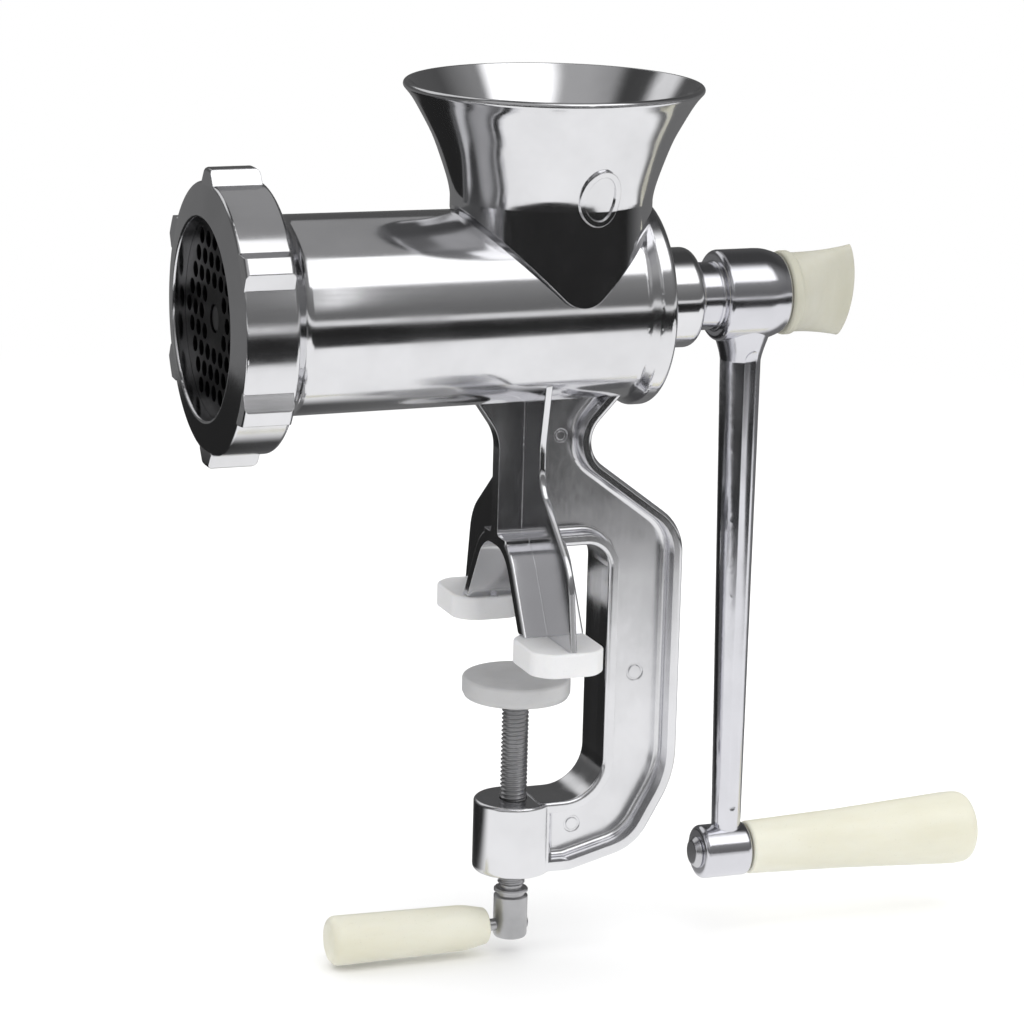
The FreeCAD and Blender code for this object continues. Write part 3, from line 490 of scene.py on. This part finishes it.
def mirrored_card(name, corners, heights, strengths):
    """A card that only the metal mirrors. Its strength goes from the first to the second between the heights."""
    material, nodes = new_material(name)
    height = nodes.add("SeparateXYZ", {0: nodes.add("TexCoord").outputs["Object"]}).outputs["Z"]
    strength = nodes.ramp(height, *heights, *strengths, smooth=True)
    lit = nodes.add("Emission", {"Color": (1, 1, 1, 1), "Strength": strength}).outputs[0]
    nodes.add("OutputMaterial", {"Surface": lit})
    data = bpy.data.meshes.new(name)
    data.from_pydata(corners, [], [(0, 1, 2, 3)])
    card = placed(name, data)
    dress(card, material)
    only_mirrored(card)


def softbox(nodes, direction, azimuth, elevation, left, right, bottom, top, strength):
    """The level of a bright panel in the surroundings, along a direction."""
    a = math.radians(azimuth)
    e = math.radians(elevation)
    ahead = nodes.dot(direction, direction_to(a, e))
    across = nodes.math("DIVIDE", nodes.dot(direction, (math.cos(a), math.sin(a), 0)), ahead)
    rise_direction = (-math.sin(a) * math.sin(e), math.cos(a) * math.sin(e), math.cos(e))
    rise = nodes.math("DIVIDE", nodes.dot(direction, rise_direction), ahead)
    shares = [
        nodes.ramp(across, left[1], left[0], smooth=True), nodes.ramp(across, right[1], right[0], smooth=True),
        nodes.ramp(rise, bottom[1], bottom[0], smooth=True), nodes.ramp(rise, top[1], top[0], smooth=True),
        nodes.math("GREATER_THAN", ahead, 0.0),
    ]
    level = strength
    for share in shares:
        level = nodes.math("MULTIPLY", level, share)
    return level


def surroundings():
    """What the metal mirrors: a dark room with a bright line at eye level in front, and three softboxes."""
    world = bpy.data.worlds.new("studio")
    world.use_nodes = True
    bpy.context.scene.world = world
    nodes = Nodes(world.node_tree)
    direction = nodes.add("TexCoord").outputs["Generated"]
    parts = nodes.add("SeparateXYZ", {0: direction})
    height = nodes.ramp(parts.outputs["Z"], -1.0, 1.0)
    front = nodes.stops(height, FRONT_ROOM)
    back = nodes.stops(height, BACK_ROOM)
    facing = nodes.ramp(parts.outputs["Y"], 0.17, -0.28)
    room = nodes.mixed(facing, back, front)
    key, left, rear = [softbox(nodes, direction, **box) for box in (KEY_BOX, LEFT_BOX, REAR_BOX)]
    level = nodes.math("ADD", nodes.math("ADD", key, left), rear)
    panels = nodes.add("CombineXYZ", {0: level, 1: level, 2: level}).outputs[0]
    total = nodes.add("VectorMath", {0: room, 1: panels}, operation="ADD").outputs[0]
    background = nodes.add("Background", {"Color": total, "Strength": 1.0})
    nodes.add("OutputWorld", {"Surface": background.outputs[0]})


def area_light(name, size, power, azimuth, elevation, distance):
    """A soft light that the metal doesn't mirror, aimed at the object."""
    data = bpy.data.lights.new(name, "AREA")
    data.size = size
    data.energy = power
    light = placed(name, data)
    back = Vector(direction_to(math.radians(azimuth), math.radians(elevation)))
    light.location = CAMERA_TARGET + back * distance
    light.rotation_mode = "QUATERNION"
    light.rotation_quaternion = (-back).to_track_quat("-Z", "Y")
    light.visible_glossy = False


def studio():
    surroundings()
    floor_and_backdrop()
    for name, card in CARDS.items():
        mirrored_card(name, *card)
    for name, light in AREA_LIGHTS.items():
        area_light(name, *light)
    bpy.context.scene.view_settings.view_transform = "Standard"


def add_camera():
    data = bpy.data.cameras.new("camera")
    data.lens = CAMERA_LENS
    data.clip_start = 0.01
    camera = placed("camera", data)
    back = Vector(direction_to(CAMERA_AZIMUTH, CAMERA_ELEVATION))
    level = Vector((math.cos(CAMERA_AZIMUTH), math.sin(CAMERA_AZIMUTH), 0))
    right = level * math.cos(CAMERA_ROLL) + back.cross(level) * math.sin(CAMERA_ROLL)
    turned = Matrix((right, back.cross(right), back)).transposed()
    camera.matrix_world = Matrix.Translation(CAMERA_TARGET + back * CAMERA_DISTANCE) @ turned.to_4x4()
    bpy.context.scene.camera = camera


def build():
    finishes = make_finishes()
    for name, finish in NODE_FINISHES.items():
        dress(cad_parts[name], finishes[finish])
    clamp_screw(finishes["screw"])
    wing_stud(finishes["screw"])
    studio()
    add_camera()


build()
